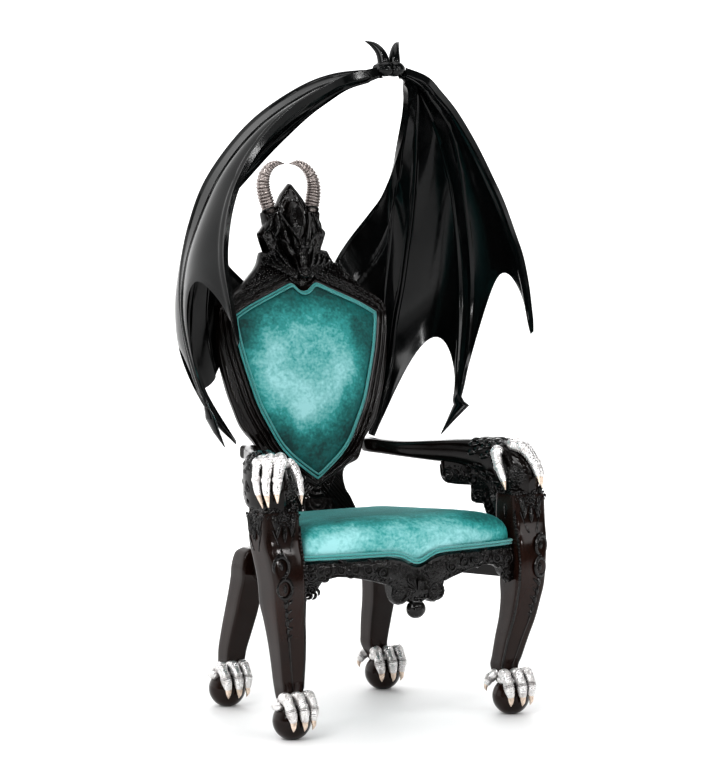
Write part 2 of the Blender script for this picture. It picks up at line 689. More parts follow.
def claw(silver, nails, centre):
    """A broad paw over the ball, with three toes in front and one behind."""
    silver.oval(centre + Vector((0, -0.004, 0.047)), (Vector((0.037, 0, 0)), Vector((0, 0.033, 0)), UP * 0.019), 30, 14,
                lambda turn, rise: 0.05 * math.cos(7 * turn) * math.cos(rise))
    for along, back, high, size in PAW_SIDES:
        silver.oval(centre + Vector((along, back, high)),
                    (Vector((size, -size * 0.5, 0)), Vector((size * 0.42, size * 0.8, 0)), UP * size * 0.82), 24, 14,
                    lambda turn, rise: 0.035 * math.cos(9 * turn + 2 * rise))
    for turn in TOE_TURNS + (HEEL_TURN,):
        angle = math.radians(turn)
        outward = Vector((math.sin(angle), -math.cos(angle), 0))
        behind = turn == HEEL_TURN
        stretch = HEEL_REACH if behind else 1.0
        spread = 0.0 if behind else PAW_SPREAD * max(-1.0, min(1.0, (turn + 3) / 28))
        side = Vector((-outward.y, outward.x, 0))

        def route(stops, count, first, last):
            rows = spline_rows(stops, count)
            path = []
            for i, (reach, height, _) in enumerate(rows):
                t = lerp(first, last, i / (count - 1))
                path.append(Vector((centre.x + spread * max(0.0, 1 - t * 1.1) ** 1.2, centre.y, height))
                            + outward * reach * stretch)
            return path, [radius for _, _, radius in rows]

        path, radii = route(HEEL if behind else TOE, 84, 0.0, 0.85)
        silver.sweep(path, [folded(r, i / 83) * 1.10 for i, r in enumerate(radii)], 14, 1.0, side.cross(UP))
        for at, size in zip(JOINTS, (0.0150, 0.0125)):
            k = int(at * 83)
            knob = path[k] + (path[k] - Vector((centre.x, centre.y, path[k].z - 0.03))).normalized() * 0.0040
            silver.oval(knob, (side * size, outward * size * 0.72, UP * size * 0.72), 16, 10)
        path, radii = route(HEEL_NAIL if behind else NAIL_PATH, 18, 0.85, 1.0)
        nails.sweep(path, radii, 12, 0.8, side.cross(UP))


def swirl_ball(shape, centre):
    shape.oval(centre, (Vector((BALL_RADIUS, 0, 0)), Vector((0, BALL_RADIUS, 0)), UP * BALL_RADIUS), 40, 26, None, 0.0)


front_leg = Shape()
leg_post(front_leg, FRONT_LEG)
swirl_ball(front_leg, FRONT_BALL)
build_pair("SIDE_front_leg_post", front_leg, LEG_LACQUER, "front_SIDE_leg")
leg_carving = Shape()
front_leg_carving(leg_carving)
arris_rim(leg_carving)
leg_top_carving(leg_carving)
build_pair("SIDE_front_leg_carving", leg_carving, CARVED)
back_leg = Shape()
leg_post(back_leg, BACK_LEG)
swirl_ball(back_leg, BACK_BALL)
build_pair("SIDE_back_leg_post", back_leg, LEG_LACQUER, "back_SIDE_leg")
for place_name, centre in (("front", FRONT_BALL), ("back", BACK_BALL)):
    toes = Shape()
    nails = Shape()
    claw(toes, nails, centre)
    build_pair("SIDE_" + place_name + "_toes", toes, SILVER)
    build_pair("SIDE_" + place_name + "_toe_nails", nails, NAIL)


# Arms

# x, y, top, underside, width, of the arm from the backrest to the hand
ARM = (
    (0.1975, 0.187, 0.724, 0.684, 0.044),
    (0.1975, 0.160, 0.724, 0.684, 0.044),
    (0.213, 0.130, 0.722, 0.682, 0.046),
    (0.240, 0.060, 0.722, 0.678, 0.050),
    (0.278, -0.020, 0.729, 0.673, 0.054),
    (0.318, -0.095, 0.736, 0.668, 0.060),
    (0.351, -0.158, 0.740, 0.652, 0.078),
    (0.377, -0.205, 0.741, 0.627, 0.100),
    (0.389, -0.243, 0.737, ARM_SEAM + GAP, 0.106),
    (0.394, -0.282, 0.725, ARM_SEAM + GAP, 0.098),
    (0.400, -0.312, 0.700, ARM_SEAM + GAP, 0.074),
    (0.405, -0.330, 0.670, ARM_SEAM + GAP, 0.042),
)
BRACKET = (
    (-0.056, 0.656, 0.030), (-0.062, 0.630, 0.038), (-0.076, 0.613, 0.042), (-0.106, 0.611, 0.044),
    (-0.147, 0.612, 0.048), (-0.150, 0.572, 0.046), (-0.158, 0.563, 0.050), (-0.184, 0.563, 0.054),
    (-0.194, 0.536, 0.054), (-0.212, 0.514, 0.056), (-0.2405, 0.500, 0.058),
)
BRACKET_TOP = 0.690
FINGERS = (
    ((0.398, -0.250, 0.729), (0.421, -0.267, 0.714), (0.436, -0.285, 0.686), (0.442, -0.301, 0.655),
     (0.437, -0.317, 0.614)),
    ((0.386, -0.268, 0.734), (0.407, -0.295, 0.718), (0.423, -0.312, 0.686), (0.431, -0.325, 0.655),
     (0.430, -0.333, 0.618)),
    ((0.366, -0.284, 0.736), (0.386, -0.314, 0.721), (0.401, -0.331, 0.688), (0.410, -0.341, 0.658),
     (0.412, -0.349, 0.629)),
)
FINGER_RADII = (0.0180, 0.0165, 0.0128, 0.0105, 0.0025)
THUMB = ((0.342, -0.256, 0.716), (0.322, -0.270, 0.710), (0.317, -0.289, 0.680), (0.319, -0.307, 0.646),
         (0.321, -0.317, 0.617))
THUMB_RADII = (0.0140, 0.0150, 0.0125, 0.0100, 0.0020)


def arm_bar(shape):
    rows = spline_rows(ARM, 72)
    rings = []
    sides = 28
    for i, (x, y, top, low, width) in enumerate(rows):
        x0, y0 = rows[max(i - 1, 0)][:2]
        x1, y1 = rows[min(i + 1, len(rows) - 1)][:2]
        along = Vector((x1 - x0, y1 - y0, 0)).normalized()
        across = Vector((-along.y, along.x, 0))
        middle = Vector((x, y, (max(top, low + 0.01) + low) / 2))
        tall = max(0.005, (top - low) / 2)
        hand = smooth_step(-0.14, -0.24, y)
        power = lerp(0.62, 0.55, hand)
        ring = []
        for k in range(sides):
            angle = 2 * math.pi * k / sides
            c = math.cos(angle)
            s = math.sin(angle)
            across_share = math.copysign(abs(c) ** power, c)
            up_share = math.copysign(abs(s) ** (power if s > 0 else lerp(power, 0.25, hand)), s)
            ring.append(middle + across * across_share * width / 2 + UP * up_share * tall)
        rings.append(ring)
    shape.loft(rings)


def hand_block(shape):
    """The squared block under the hand, which stands on the leg."""
    sections = ((ARM_SEAM + GAP, 0.337, 0.441, -0.333, -0.242), (0.608, 0.339, 0.439, -0.331, -0.238),
                (0.622, 0.345, 0.428, -0.318, -0.236), (0.655, 0.354, 0.422, -0.308, -0.238),
                (0.690, 0.360, 0.418, -0.298, -0.242))
    shape.loft([rounded_box_ring(x0, x1, y0, y1, z, 0.014) for z, x0, x1, y0, y1 in spline_rows(sections, 16)])


def arm_centre_x(y):
    return blend_value([(-p[1], p[0]) for p in ARM[1:]], -y)


def arm_bracket(shape):
    rings = []
    for y, low, width in BRACKET:
        x = min(arm_centre_x(y), 0.372)
        half = width / 2
        cut = min(0.008, (BRACKET_TOP - low) / 3)
        outline = []
        for k in range(7):
            angle = math.pi * k / 12
            outline.append((x + half - cut + cut * math.cos(angle), low + cut - cut * math.sin(angle)))
        for k in range(7):
            angle = math.pi / 2 + math.pi * k / 12
            outline.append((x - half + cut + cut * math.cos(angle), low + cut - cut * math.sin(angle)))
        outline += [(x - half, BRACKET_TOP), (x + half, BRACKET_TOP)]
        rings.append([Vector((px, y, pz)) for px, pz in outline])
    shape.loft(rings)


def bracket_face(side):
    """Points on the inner (-1) or outer (1) face of the bracket."""
    def place(u, v, n):
        half = blend_value([(-y, w / 2) for y, _, w in BRACKET], -u)
        return Vector((min(arm_centre_x(u), 0.372) + side * (half + n), u, v))
    return place


def bracket_carving(shape):
    for side in (-1, 1):
        place = bracket_face(side)
        volute(shape, place, -0.083, 0.637, 0.021, 2.0, side, math.pi, 0.0042)
        volute(shape, place, -0.171, 0.585, 0.018, 1.8, side, math.pi, 0.0038)
        volute(shape, place, -0.128, 0.632, 0.014, 1.5, -side, 0.0, 0.0032)
        for k, (u, v) in enumerate(((-0.100, 0.652), (-0.118, 0.656), (-0.140, 0.650), (-0.158, 0.640))):
            flat_leaf(shape, place, u, v, math.radians(-150 + 12 * k), 0.030, 0.0065, 0.005, 0.6)
        for k in range(5):
            flat_leaf(shape, place, -0.190 - 0.010 * k, 0.600 - 0.014 * k, math.radians(-105 + 8 * k), 0.034, 0.006,
                      0.005, 0.5)
        for k in range(6):
            flat_leaf(shape, place, -0.165 - 0.011 * k, 0.655 - 0.006 * k, math.radians(-95), 0.036, 0.006, 0.004, -0.5)
        edge = []
        for i in range(30):
            t = i / 29
            y, low, _ = spline_rows(BRACKET, 30)[i]
            edge.append(place(y, low + 0.006, 0.0005))
        shape.sweep(edge, [0.0026] * len(edge), 6)


def hand_point(y, turn, lift):
    """A point on the arm's skin at y, turned round it from straight up towards +X."""
    rows = [(-p[1],) + tuple(p) for p in ARM[1:]]
    values = [blend_value([(r[0], r[k]) for r in rows], -y) for k in (1, 3, 4, 5)]
    x, top, low, width = values
    middle = Vector((x, y, (top + low) / 2))
    c = math.sin(turn)
    s = math.cos(turn)
    across = math.copysign(abs(c) ** 0.58, c) * (width / 2 + lift)
    rise = math.copysign(abs(s) ** 0.58, s) * ((top - low) / 2 + lift)
    return middle + Vector((across, 0, rise))


def feather_carving(shape):
    """Overlapping scales over the wrist, longest at the sides."""
    for row in range(5):
        y = -0.150 - 0.020 * row
        for k in range(9):
            turn = math.radians(-118 + 29.5 * k + (14 if row % 2 else 0))
            path = [hand_point(y - 0.030 * t, turn + 0.12 * t, 0.0008 + 0.0028 * math.sin(math.pi * t))
                    for t in (i / 6 for i in range(7))]
            out = (hand_point(y, turn, 0.01) - hand_point(y, turn, 0.0)).normalized()
            shape.sweep(path, [0.0035, 0.0075, 0.0090, 0.0090, 0.0075, 0.0048, 0.0010], 8, 0.38, out)


def rosette(shape, centre, out, radius, deep=0.8):
    """A round boss with two rings of beads and one in the middle."""
    side = out.orthogonal().normalized()
    other = out.cross(side)
    shape.oval(centre, (side * radius, other * radius, out * radius * deep), 24, 12,
               lambda turn, rise: 0.05 * math.cos(10 * turn + 4 * rise))
    for number, (share, count, size) in enumerate(((0.95, 13, 0.21), (0.64, 9, 0.22), (0.33, 5, 0.20))):
        for k in range(count):
            angle = 2 * math.pi * (k + 0.5 * number) / count
            spoke = side * math.cos(angle) + other * math.sin(angle)
            where = centre + spoke * radius * share + out * radius * deep * math.sqrt(1 - share * share)
            shape.oval(where, (spoke * radius * size, spoke.cross(out) * radius * size * 0.8,
                               out * radius * size * deep), 8, 6)
    shape.oval(centre + out * radius * deep, (side * radius * 0.18, other * radius * 0.18, out * radius * 0.18 * deep),
               10, 7)


def digit(silver, nails, stops, radii, up, flat=1.0, knuckles=(1.30, 1.16)):
    """A silver finger with swollen, folded joints, ending in a curved nail."""
    rows = spline_rows([tuple(p) + (r,) for p, r in zip(stops, radii)], 110)
    cut = 84
    path = [Vector(row[:3]) for row in rows]
    sizes = [row[3] for row in rows]
    silver.sweep(path[:cut + 2], [folded(r, i / cut) for i, r in enumerate(sizes[:cut + 2])], 16, flat, up)
    for at, size in zip((0.22, 0.68), knuckles):
        k = int(at * cut)
        along = (path[k + 1] - path[k]).normalized()
        side = along.cross(up).normalized()
        bump_up = side.cross(along)
        if bump_up.dot(up) < 0:
            bump_up = -bump_up
        silver.oval(path[k] + bump_up * sizes[k] * 0.25,
                    (side * sizes[k] * size * flat, along * sizes[k] * size * 0.85, bump_up * sizes[k] * 0.95), 16, 10)
    nails.sweep(path[cut - 3:], [max(0.0012, r * 0.92) for r in sizes[cut - 3:]], 12, 0.9 * flat, up)


arm = Shape()
arm_bar(arm)
hand_block(arm)
arm_bracket(arm)
build_pair("SIDE_arm_rest", arm, LACQUER, "SIDE_arm")
arm_carving = Shape()
bracket_carving(arm_carving)
feather_carving(arm_carving)
rosette(arm_carving, Vector((0.358, -0.314, 0.655)), Vector((-0.45, -0.88, 0.10)).normalized(), 0.027, 0.55)


def block_front(u, v, n):
    return Vector((u, -0.333 - n + 0.9 * max(0.0, min(v, 0.622) - 0.606) + 0.3 * max(0.0, v - 0.622), v))


def block_outer(u, v, n):
    return Vector((0.440 + n - 0.8 * max(0.0, min(v, 0.622) - 0.606), u, v))


def block_inner(u, v, n):
    return Vector((0.338 - n + 0.36 * max(0.0, v - 0.610), u, v))


knobs(arm_carving, block_front, (0.346, 0.432, 0.604, 0.676), 0.0085, 0.0034, lambda u, v: True, 11)
knobs(arm_carving, block_outer, (-0.325, -0.250, 0.604, 0.660), 0.0085, 0.0034, lambda u, v: True, 12)
knobs(arm_carving, block_inner, (-0.325, -0.250, 0.604, 0.670), 0.0085, 0.0034, lambda u, v: True, 13)
for side in (-1, 1):
    knobs(arm_carving, bracket_face(side), (-0.232, -0.070, 0.575, 0.668), 0.0090, 0.0026,
          lambda u, v: v > blend_value([(-y, low) for y, low, _ in BRACKET], -u) + 0.010, 14 + side)
build_pair("SIDE_arm_carving", arm_carving, CARVED)
fingers = Shape()
finger_nails = Shape()
for stops in FINGERS:
    digit(fingers, finger_nails, stops, FINGER_RADII, Vector((1, -1, 0.3)).normalized())
digit(fingers, finger_nails, THUMB, THUMB_RADII, Vector((-1, -0.2, 0.1)).normalized())
build_pair("SIDE_fingers", fingers, SILVER)
build_pair("SIDE_finger_nails", finger_nails, NAIL)


# Front apron

APRON_FRONT = -0.376
APRON_BOW = 0.040
APRON_HALF_WIDTH = 0.3335
APRON_THICKNESS = 0.030
FRONT_DIP = 0.026
FRONT_DIP_HALF_WIDTH = 0.042
APRON_EDGE = (
    (0.000, 0.335), (0.030, 0.346), (0.044, 0.339), (0.058, 0.338), (0.070, 0.348), (0.079, 0.367),
    (0.083, 0.390), (0.112, 0.400), (0.159, 0.412), (0.199, 0.420), (0.236, 0.423), (0.264, 0.418),
    (0.283, 0.410), (0.294, 0.392), (0.309, 0.378), (0.3335, 0.370),
)
ROSETTE_X = 0.058
ROSETTE_HEIGHT = 0.368


def apron_front(x):
    return APRON_FRONT + APRON_BOW * (x / APRON_HALF_WIDTH) ** 2


def seat_edge(x):
    return SEAT_RAIL_TOP - FRONT_DIP * math.exp(-(x / FRONT_DIP_HALF_WIDTH) ** 2)


def apron_place(x, z, n):
    return Vector((x, apron_front(x) - n, z))


def apron_panel(shape):
    columns = 241
    rows = 22
    front = []
    back = []
    for i in range(columns):
        x = lerp(-APRON_HALF_WIDTH, APRON_HALF_WIDTH, i / (columns - 1))
        low = blend_value(APRON_EDGE, abs(x))
        high = seat_edge(x) - 0.0012
        for r in range(rows + 1):
            t = r / rows
            z = lerp(low, high, t)
            edge = min(t, 1 - t) * (high - low)
            relief = 0.0055 * math.sin(math.pi * t) + 0.0016 * noise.noise(Vector((x * 90, z * 90, 2.0)))
            lip = 0.0030 * math.exp(-((edge - 0.004) / 0.0022) ** 2)
            front.append(apron_place(x, z, relief + lip - 0.004 * smooth_step(0.0022, 0.0, edge)))
            back.append(Vector((x, apron_front(x) + APRON_THICKNESS, z)))
    shape.sheet(front, back, columns, rows + 1)


def apron_carving(shape):
    for side in (1, -1):
        middle = apron_place(ROSETTE_X * side, ROSETTE_HEIGHT, 0.003)
        forward = Vector((0, -1, 0))
        shape.hoop(middle, forward, UP, 0.0215, 0.0042)
        for k in range(16):
            angle = 2 * math.pi * k / 16
            shape.oval(middle + Vector((math.cos(angle), 0, math.sin(angle))) * 0.0215 + forward * 0.0035,
                       (Vector((0.0030, 0, 0)), Vector((0, 0.0030, 0)), UP * 0.0030), 8, 6)
        rosette(shape, middle - forward * 0.001, forward, 0.0175, 0.36)
        for number, (x, z, radius, hand, start) in enumerate((
                (0.108, 0.431, 0.0170, 1, 2.6), (0.150, 0.440, 0.0155, -1, 0.4), (0.190, 0.442, 0.0140, 1, 2.8),
                (0.228, 0.443, 0.0135, -1, 0.3), (0.268, 0.440, 0.0160, 1, 2.4), (0.308, 0.432, 0.0180, -1, 0.6),
                (0.310, 0.394, 0.0130, 1, 1.0), (0.022, 0.405, 0.0130, -1, 1.2))):
            volute(shape, apron_place, x * side, z, radius, 1.7, hand * side,
                   start if side > 0 else math.pi - start, 0.0034, 0.007)
            for k in range(3):
                angle = start + 1.9 + 0.75 * k
                if side < 0:
                    angle = math.pi - angle
                flat_leaf(shape, apron_place, x * side + radius * math.cos(angle), z + radius * math.sin(angle),
                          angle + 0.5 * side * hand, 0.021, 0.0052, 0.006 if number else 0.005, 0.9 * side * hand)
        for k in range(18):
            x = lerp(0.092, 0.322, k / 17)
            shape.oval(apron_place(x * side, seat_edge(x) - 0.0085, 0.004),
                       (Vector((0.0042, 0, 0)), Vector((0, 0.0034, 0)), UP * 0.0038), 8, 6)
        for k in range(5):
            flat_leaf(shape, apron_place, 0.008 * side, 0.375, math.radians(90 - side * (12 + 20 * k)),
                      0.052 - 0.006 * k, 0.0062, 0.009)
        volute(shape, apron_place, 0.293 * side, 0.416, 0.0085, 1.3, side, 1.0, 0.003, 0.005)
        edge = [apron_place(x * side, blend_value(APRON_EDGE, x) + 0.004, 0.0035)
                for x in (lerp(0.086, 0.331, k / 40) for k in range(41))]
        shape.sweep(edge, [0.0026] * 41, 6)
    flat_leaf(shape, apron_place, 0.0, 0.368, math.pi / 2, 0.064, 0.009, 0.011)


def apron_knobs(shape):
    """Pebbled ground between the scrolls."""
    def raised(u, v, n):
        return apron_place(u, v, n + 0.0035)
    knobs(shape, raised, (-0.328, 0.328, 0.338, 0.452), 0.0086, 0.0031,
          lambda u, v: blend_value(APRON_EDGE, abs(u)) + 0.006 < v < seat_edge(u) - 0.016, 21)


def pendant(shape):
    centre = Vector((0, apron_front(0) + 0.008, 0.323))
    shape.oval(centre, (Vector((0.028, 0, 0)), Vector((0, 0.021, 0)), UP * 0.025), 48, 26,
               lambda turn, rise: -0.07 * (0.5 + 0.5 * math.cos(7 * turn + 3.2 * rise)) ** 4 * math.cos(rise))
    shape.hoop(centre + UP * 0.021, UP, Vector((0, 1, 0)), 0.0145, 0.0042)


apron = Shape()
apron_panel(apron)
pendant(apron)
build_object("front_apron_panel", apron, CARVED, ("front_apron",))
carving = Shape()
apron_carving(carving)
apron_knobs(carving)
build_object("front_apron_carving", carving, CARVED)


# Backrest

def on_back(x, h, n):
    return BACK_FOOT + Vector((x, h * math.sin(BACK_LEAN) - n * math.cos(BACK_LEAN),
                               h * math.cos(BACK_LEAN) + n * math.sin(BACK_LEAN)))


BACK_FORWARD = on_back(0, 0, 1) - BACK_FOOT
BACK_UP = on_back(0, 1, 0) - BACK_FOOT

# outline of the board and, matched to it, of the shield pad: x, h, pad x, pad h
BACK_OUTLINE = (
    (0.000, 0.926, 0.000, 0.620), (0.026, 0.896, 0.007, 0.621), (0.047, 0.858, 0.014, 0.623),
    (0.091, 0.846, 0.022, 0.629),
    (0.087, 0.812, 0.031, 0.638), (0.106, 0.790, 0.041, 0.643), (0.081, 0.776, 0.050, 0.641),
    (0.061, 0.758, 0.062, 0.636), (0.073, 0.743, 0.078, 0.629), (0.107, 0.735, 0.096, 0.621),
    (0.122, 0.702, 0.118, 0.612), (0.153, 0.672, 0.144, 0.601), (0.194, 0.637, 0.178, 0.586),
    (0.240, 0.607, 0.212, 0.568), (0.268, 0.589, 0.232, 0.556), (0.272, 0.545, 0.231, 0.530),
    (0.271, 0.460, 0.217, 0.452), (0.254, 0.366, 0.193, 0.366), (0.235, 0.305, 0.173, 0.305),
    (0.213, 0.250, 0.146, 0.250), (0.1745, 0.202, 0.117, 0.197), (0.160, 0.168, 0.088, 0.162),
    (0.145, 0.144, 0.060, 0.137), (0.107, 0.127, 0.034, 0.117), (0.095, 0.102, 0.017, 0.104),
    (0.101, 0.062, 0.008, 0.098), (0.124, 0.016, 0.004, 0.0955), (0.150, -0.0745, 0.002, 0.094),
    (0.000, -0.0745, 0.000, 0.093),
)
REEDS = ((0.048, 0.000), (0.042, 0.009), (0.034, 0.003), (0.026, 0.012), (0.018, 0.006), (0.010, 0.016),
         (0.003, 0.012))
FINE_STEPS = 9


def both_sides(half):
    return list(half) + [(-x, h, -px, ph) for x, h, px, ph in reversed(half[1:-1])]


def smooth_closed(points, steps, corner_cosine=0.75):
    """A closed outline made finer, rounded between its points but sharp at its corners."""
    count = len(points)
    result = []

    def is_corner(i):
        before = Vector(points[i]) - Vector(points[i - 1])
        after = Vector(points[(i + 1) % count]) - Vector(points[i])
        return before.normalized().dot(after.normalized()) < corner_cosine

    for i in range(count):
        p1 = Vector(points[i])
        p2 = Vector(points[(i + 1) % count])
        m1 = p2 - p1 if is_corner(i) else (p2 - Vector(points[i - 1])) * 0.5
        m2 = p2 - p1 if is_corner((i + 1) % count) else (Vector(points[(i + 2) % count]) - p1) * 0.5
        for k in range(steps):
            t = k / steps
            result.append(p1 * (2 * t ** 3 - 3 * t * t + 1) + m1 * (t ** 3 - 2 * t * t + t)
                          + p2 * (-2 * t ** 3 + 3 * t * t) + m2 * (t ** 3 - t * t))
    return result


COARSE_BACK = both_sides(BACK_OUTLINE)
FRAME_EDGE = smooth_closed([(x, h, 0.0) for x, h, _, _ in COARSE_BACK], FINE_STEPS)
PAD_EDGE = smooth_closed([(px, ph, 0.0) for _, _, px, ph in COARSE_BACK], FINE_STEPS)


def board_face(h):
    return -CREST_SET_BACK * min(1.0, max(0.0, (h - 0.66) / 0.06))


def board_back(h):
    return BOARD_THICKNESS - board_face(h) * 0.8


def frame_height(distance, h):
    """Height of the front of the frame at a distance from the pad."""
    if distance >= REEDS[0][0]:
        return 0.0
    for (d0, n0), (d1, n1) in zip(REEDS[:-1], REEDS[1:]):
        if distance >= d1:
            t = (d0 - distance) / (d0 - d1)
            return lerp(n0, n1, (1 - math.cos(math.pi * t)) / 2)
    return REEDS[-1][1]


def carved_share(x, h):
    """1 where the frame is carved all over: its shoulders, its crest and its foot."""
    return max(smooth_step(0.545, 0.585, h), smooth_step(0.150, 0.105, h))


def crest_relief(x, h):
    """Small scales over the crest, and diagonal rope cuts on the foot."""
    cells = noise.voronoi(Vector((abs(x) * 78, h * 78, 0.0)))[0]
    scales = 0.0042 * min(1.0, (cells[1] - cells[0]) * 1.6)
    rope = 0.0030 * (0.5 + 0.5 * math.sin((abs(x) * 1.2 + h) * 2 * math.pi / 0.014))
    return rope if h < 0.3 else scales * 0.5


def back_panel(shape):
    count = len(FRAME_EDGE)
    rings = [[on_back(p.x * s, lerp(0.43, p.y, s), -board_back(p.y) + lift) for p in FRAME_EDGE]
             for s, lift in ((0.55, 0.0), (0.80, 0.0), (0.93, 0.0), (0.985, 0.0015))]
    rings.append([on_back(p.x, p.y, -board_back(p.y) + 0.006) for p in FRAME_EDGE])
    rings.append([on_back(p.x, p.y, board_face(p.y) - 0.006) for p in FRAME_EDGE])
    steps = 46
    for r in range(steps + 1):
        ring = []
        t = r / steps
        for edge, pad in zip(FRAME_EDGE, PAD_EDGE):
            span = (edge - pad).length
            inset = min(0.0025, span * 0.1)
            distance = lerp(span - inset, 0.0015, t ** 1.15)
            share = distance / span
            x = lerp(pad.x, edge.x, share)
            h = lerp(pad.y, edge.y, share)
            height = frame_height(distance, h) + board_face(h)
            carve = carved_share(x, h) * smooth_step(0.0, 0.006, span - inset - distance) \
                * smooth_step(0.004, 0.010, distance)
            height = lerp(height, board_face(h) + 0.004, carve * 0.55) + carve * crest_relief(x, h)
            if distance > span - 0.008:
                height -= 0.003 * (1 - (span - distance) / 0.008)
            ring.append(on_back(x, h, height))
        rings.append(ring)
    rings.append([on_back(p.x, p.y, 0.0) for p in PAD_EDGE])
    rings.append([on_back(p.x, p.y, -PAD_RECESS) for p in PAD_EDGE])
    verts = [p for ring in rings for p in ring]
    faces = []
    for r in range(len(rings) - 1):
        for i in range(count):
            j = (i + 1) % count
            faces.append((r * count + i, r * count + j, (r + 1) * count + j, (r + 1) * count + i))
    verts.append(on_back(0, 0.43, -BOARD_THICKNESS))
    faces += [((i + 1) % count, i, len(verts) - 1) for i in range(count)]
    verts.append(on_back(0, 0.43, -PAD_RECESS))
    last = (len(rings) - 1) * count
    faces += [(last + i, last + (i + 1) % count, len(verts) - 1) for i in range(count)]
    shape.add(verts, faces)


def back_axes(across, along, deep, tilt=0.0, side=1):
    angle = math.radians(tilt)
    wide = Vector((math.cos(angle) * side, 0, 0)) - BACK_UP * math.sin(angle)
    tall = Vector((math.sin(angle) * side, 0, 0)) + BACK_UP * math.cos(angle)
    return wide * across, tall * along, BACK_FORWARD * deep


def dragon_head(shape):
    """A horned dragon's head looking down: brow, snout, cheeks and neck frills."""
    shape.oval(on_back(0, 0.800, -0.008), back_axes(0.028, 0.080, 0.034), 32, 20,
               lambda turn, rise: 0.07 * math.cos(2 * turn) + 0.03 * math.cos(9 * rise))
    shape.oval(on_back(0, 0.718, 0.006), back_axes(0.021, 0.054, 0.030), 28, 18,
               lambda turn, rise: 0.05 * math.cos(7 * rise))
    shape.oval(on_back(0, 0.672, 0.020), back_axes(0.018, 0.019, 0.019), 24, 16)
    shape.oval(on_back(0, 0.690, 0.028), back_axes(0.009, 0.016, 0.010), 16, 10)
    for side in (1, -1):
        brow = [on_back(side * x, h, n) for x, h, n in
                ((0.006, 0.742, 0.036), (0.014, 0.762, 0.034), (0.026, 0.786, 0.022), (0.038, 0.812, 0.010),
                 (0.046, 0.838, -0.004))]
        shape.sweep(curve_through(brow, 20), [lerp(0.0075, 0.0040, i / 19) for i in range(20)], 10)
        shape.oval(on_back(side * 0.017, 0.742, 0.026), back_axes(0.0065, 0.0055, 0.0065), 12, 8)
        shape.oval(on_back(side * 0.008, 0.676, 0.037), back_axes(0.0035, 0.0045, 0.0035), 10, 7)
        lip = [on_back(side * x, h, n) for x, h, n in
               ((0.004, 0.660, 0.034), (0.014, 0.668, 0.030), (0.021, 0.700, 0.020), (0.026, 0.734, 0.010))]
        shape.sweep(curve_through(lip, 16), [0.0042] * 16, 8)
        for x, h, n, across, along, deep, tilt in (
                (0.036, 0.782, -0.008, 0.013, 0.046, 0.018, 16), (0.056, 0.806, -0.014, 0.012, 0.034, 0.016, -10),
                (0.078, 0.812, -0.018, 0.010, 0.026, 0.014, -24), (0.030, 0.735, 0.000, 0.012, 0.036, 0.018, 30)):
            shape.oval(on_back(side * x, h, n), back_axes(across, along, deep, tilt, side), 18, 12,
                       lambda turn, rise: 0.05 * math.cos(6 * rise))
        for number in range(4):
            start = 0.030 + 0.017 * number
            frill = [on_back(side * x, h, n) for x, h, n in
                     ((0.016 + 0.003 * number, 0.672 - 0.004 * number, 0.018), (start + 0.006, 0.690 + 0.001 * number, 0.008),
                      (start + 0.020, 0.716 - 0.004 * number, -0.004), (start + 0.030, 0.738 - 0.014 * number, -0.012))]
            shape.sweep(curve_through(frill, 18), [lerp(0.0062, 0.0030, i / 17) for i in range(18)], 8)
            for k in range(6):
                t = (k + 1) / 7
                where = Vector(curve_through(frill, 8)[k + 1])
                shape.oval(where + BACK_FORWARD * 0.004 - BACK_UP * 0.005, back_axes(0.0045, 0.0045, 0.004), 8, 6)


def gable(shape):
    """The pointed plate behind the head, with a raised border."""
    for side in (1, -1):
        border = [on_back(side * x, h, -CREST_SET_BACK + 0.002) for x, h in
                  ((0.044, 0.850), (0.040, 0.868), (0.024, 0.892), (0.0005, 0.920))]
        shape.sweep(curve_through(border, 16), [0.0035] * 16, 8)
        border = [on_back(side * x, h, -CREST_SET_BACK) for x, h in
                  ((0.031, 0.846), (0.028, 0.864), (0.017, 0.882), (0.0005, 0.902))]
        shape.sweep(curve_through(border, 16), [0.0018] * 16, 6)
        collar = [on_back(side * (0.068 + 0.020 * math.cos(a)), 0.853 + 0.004 * math.sin(a) - 0.004 * math.cos(a),
                          -0.026 + 0.018 * math.sin(a)) for a in (2 * math.pi * k / 20 for k in range(21))]
        shape.sweep(collar, [0.0034] * 21, 8)


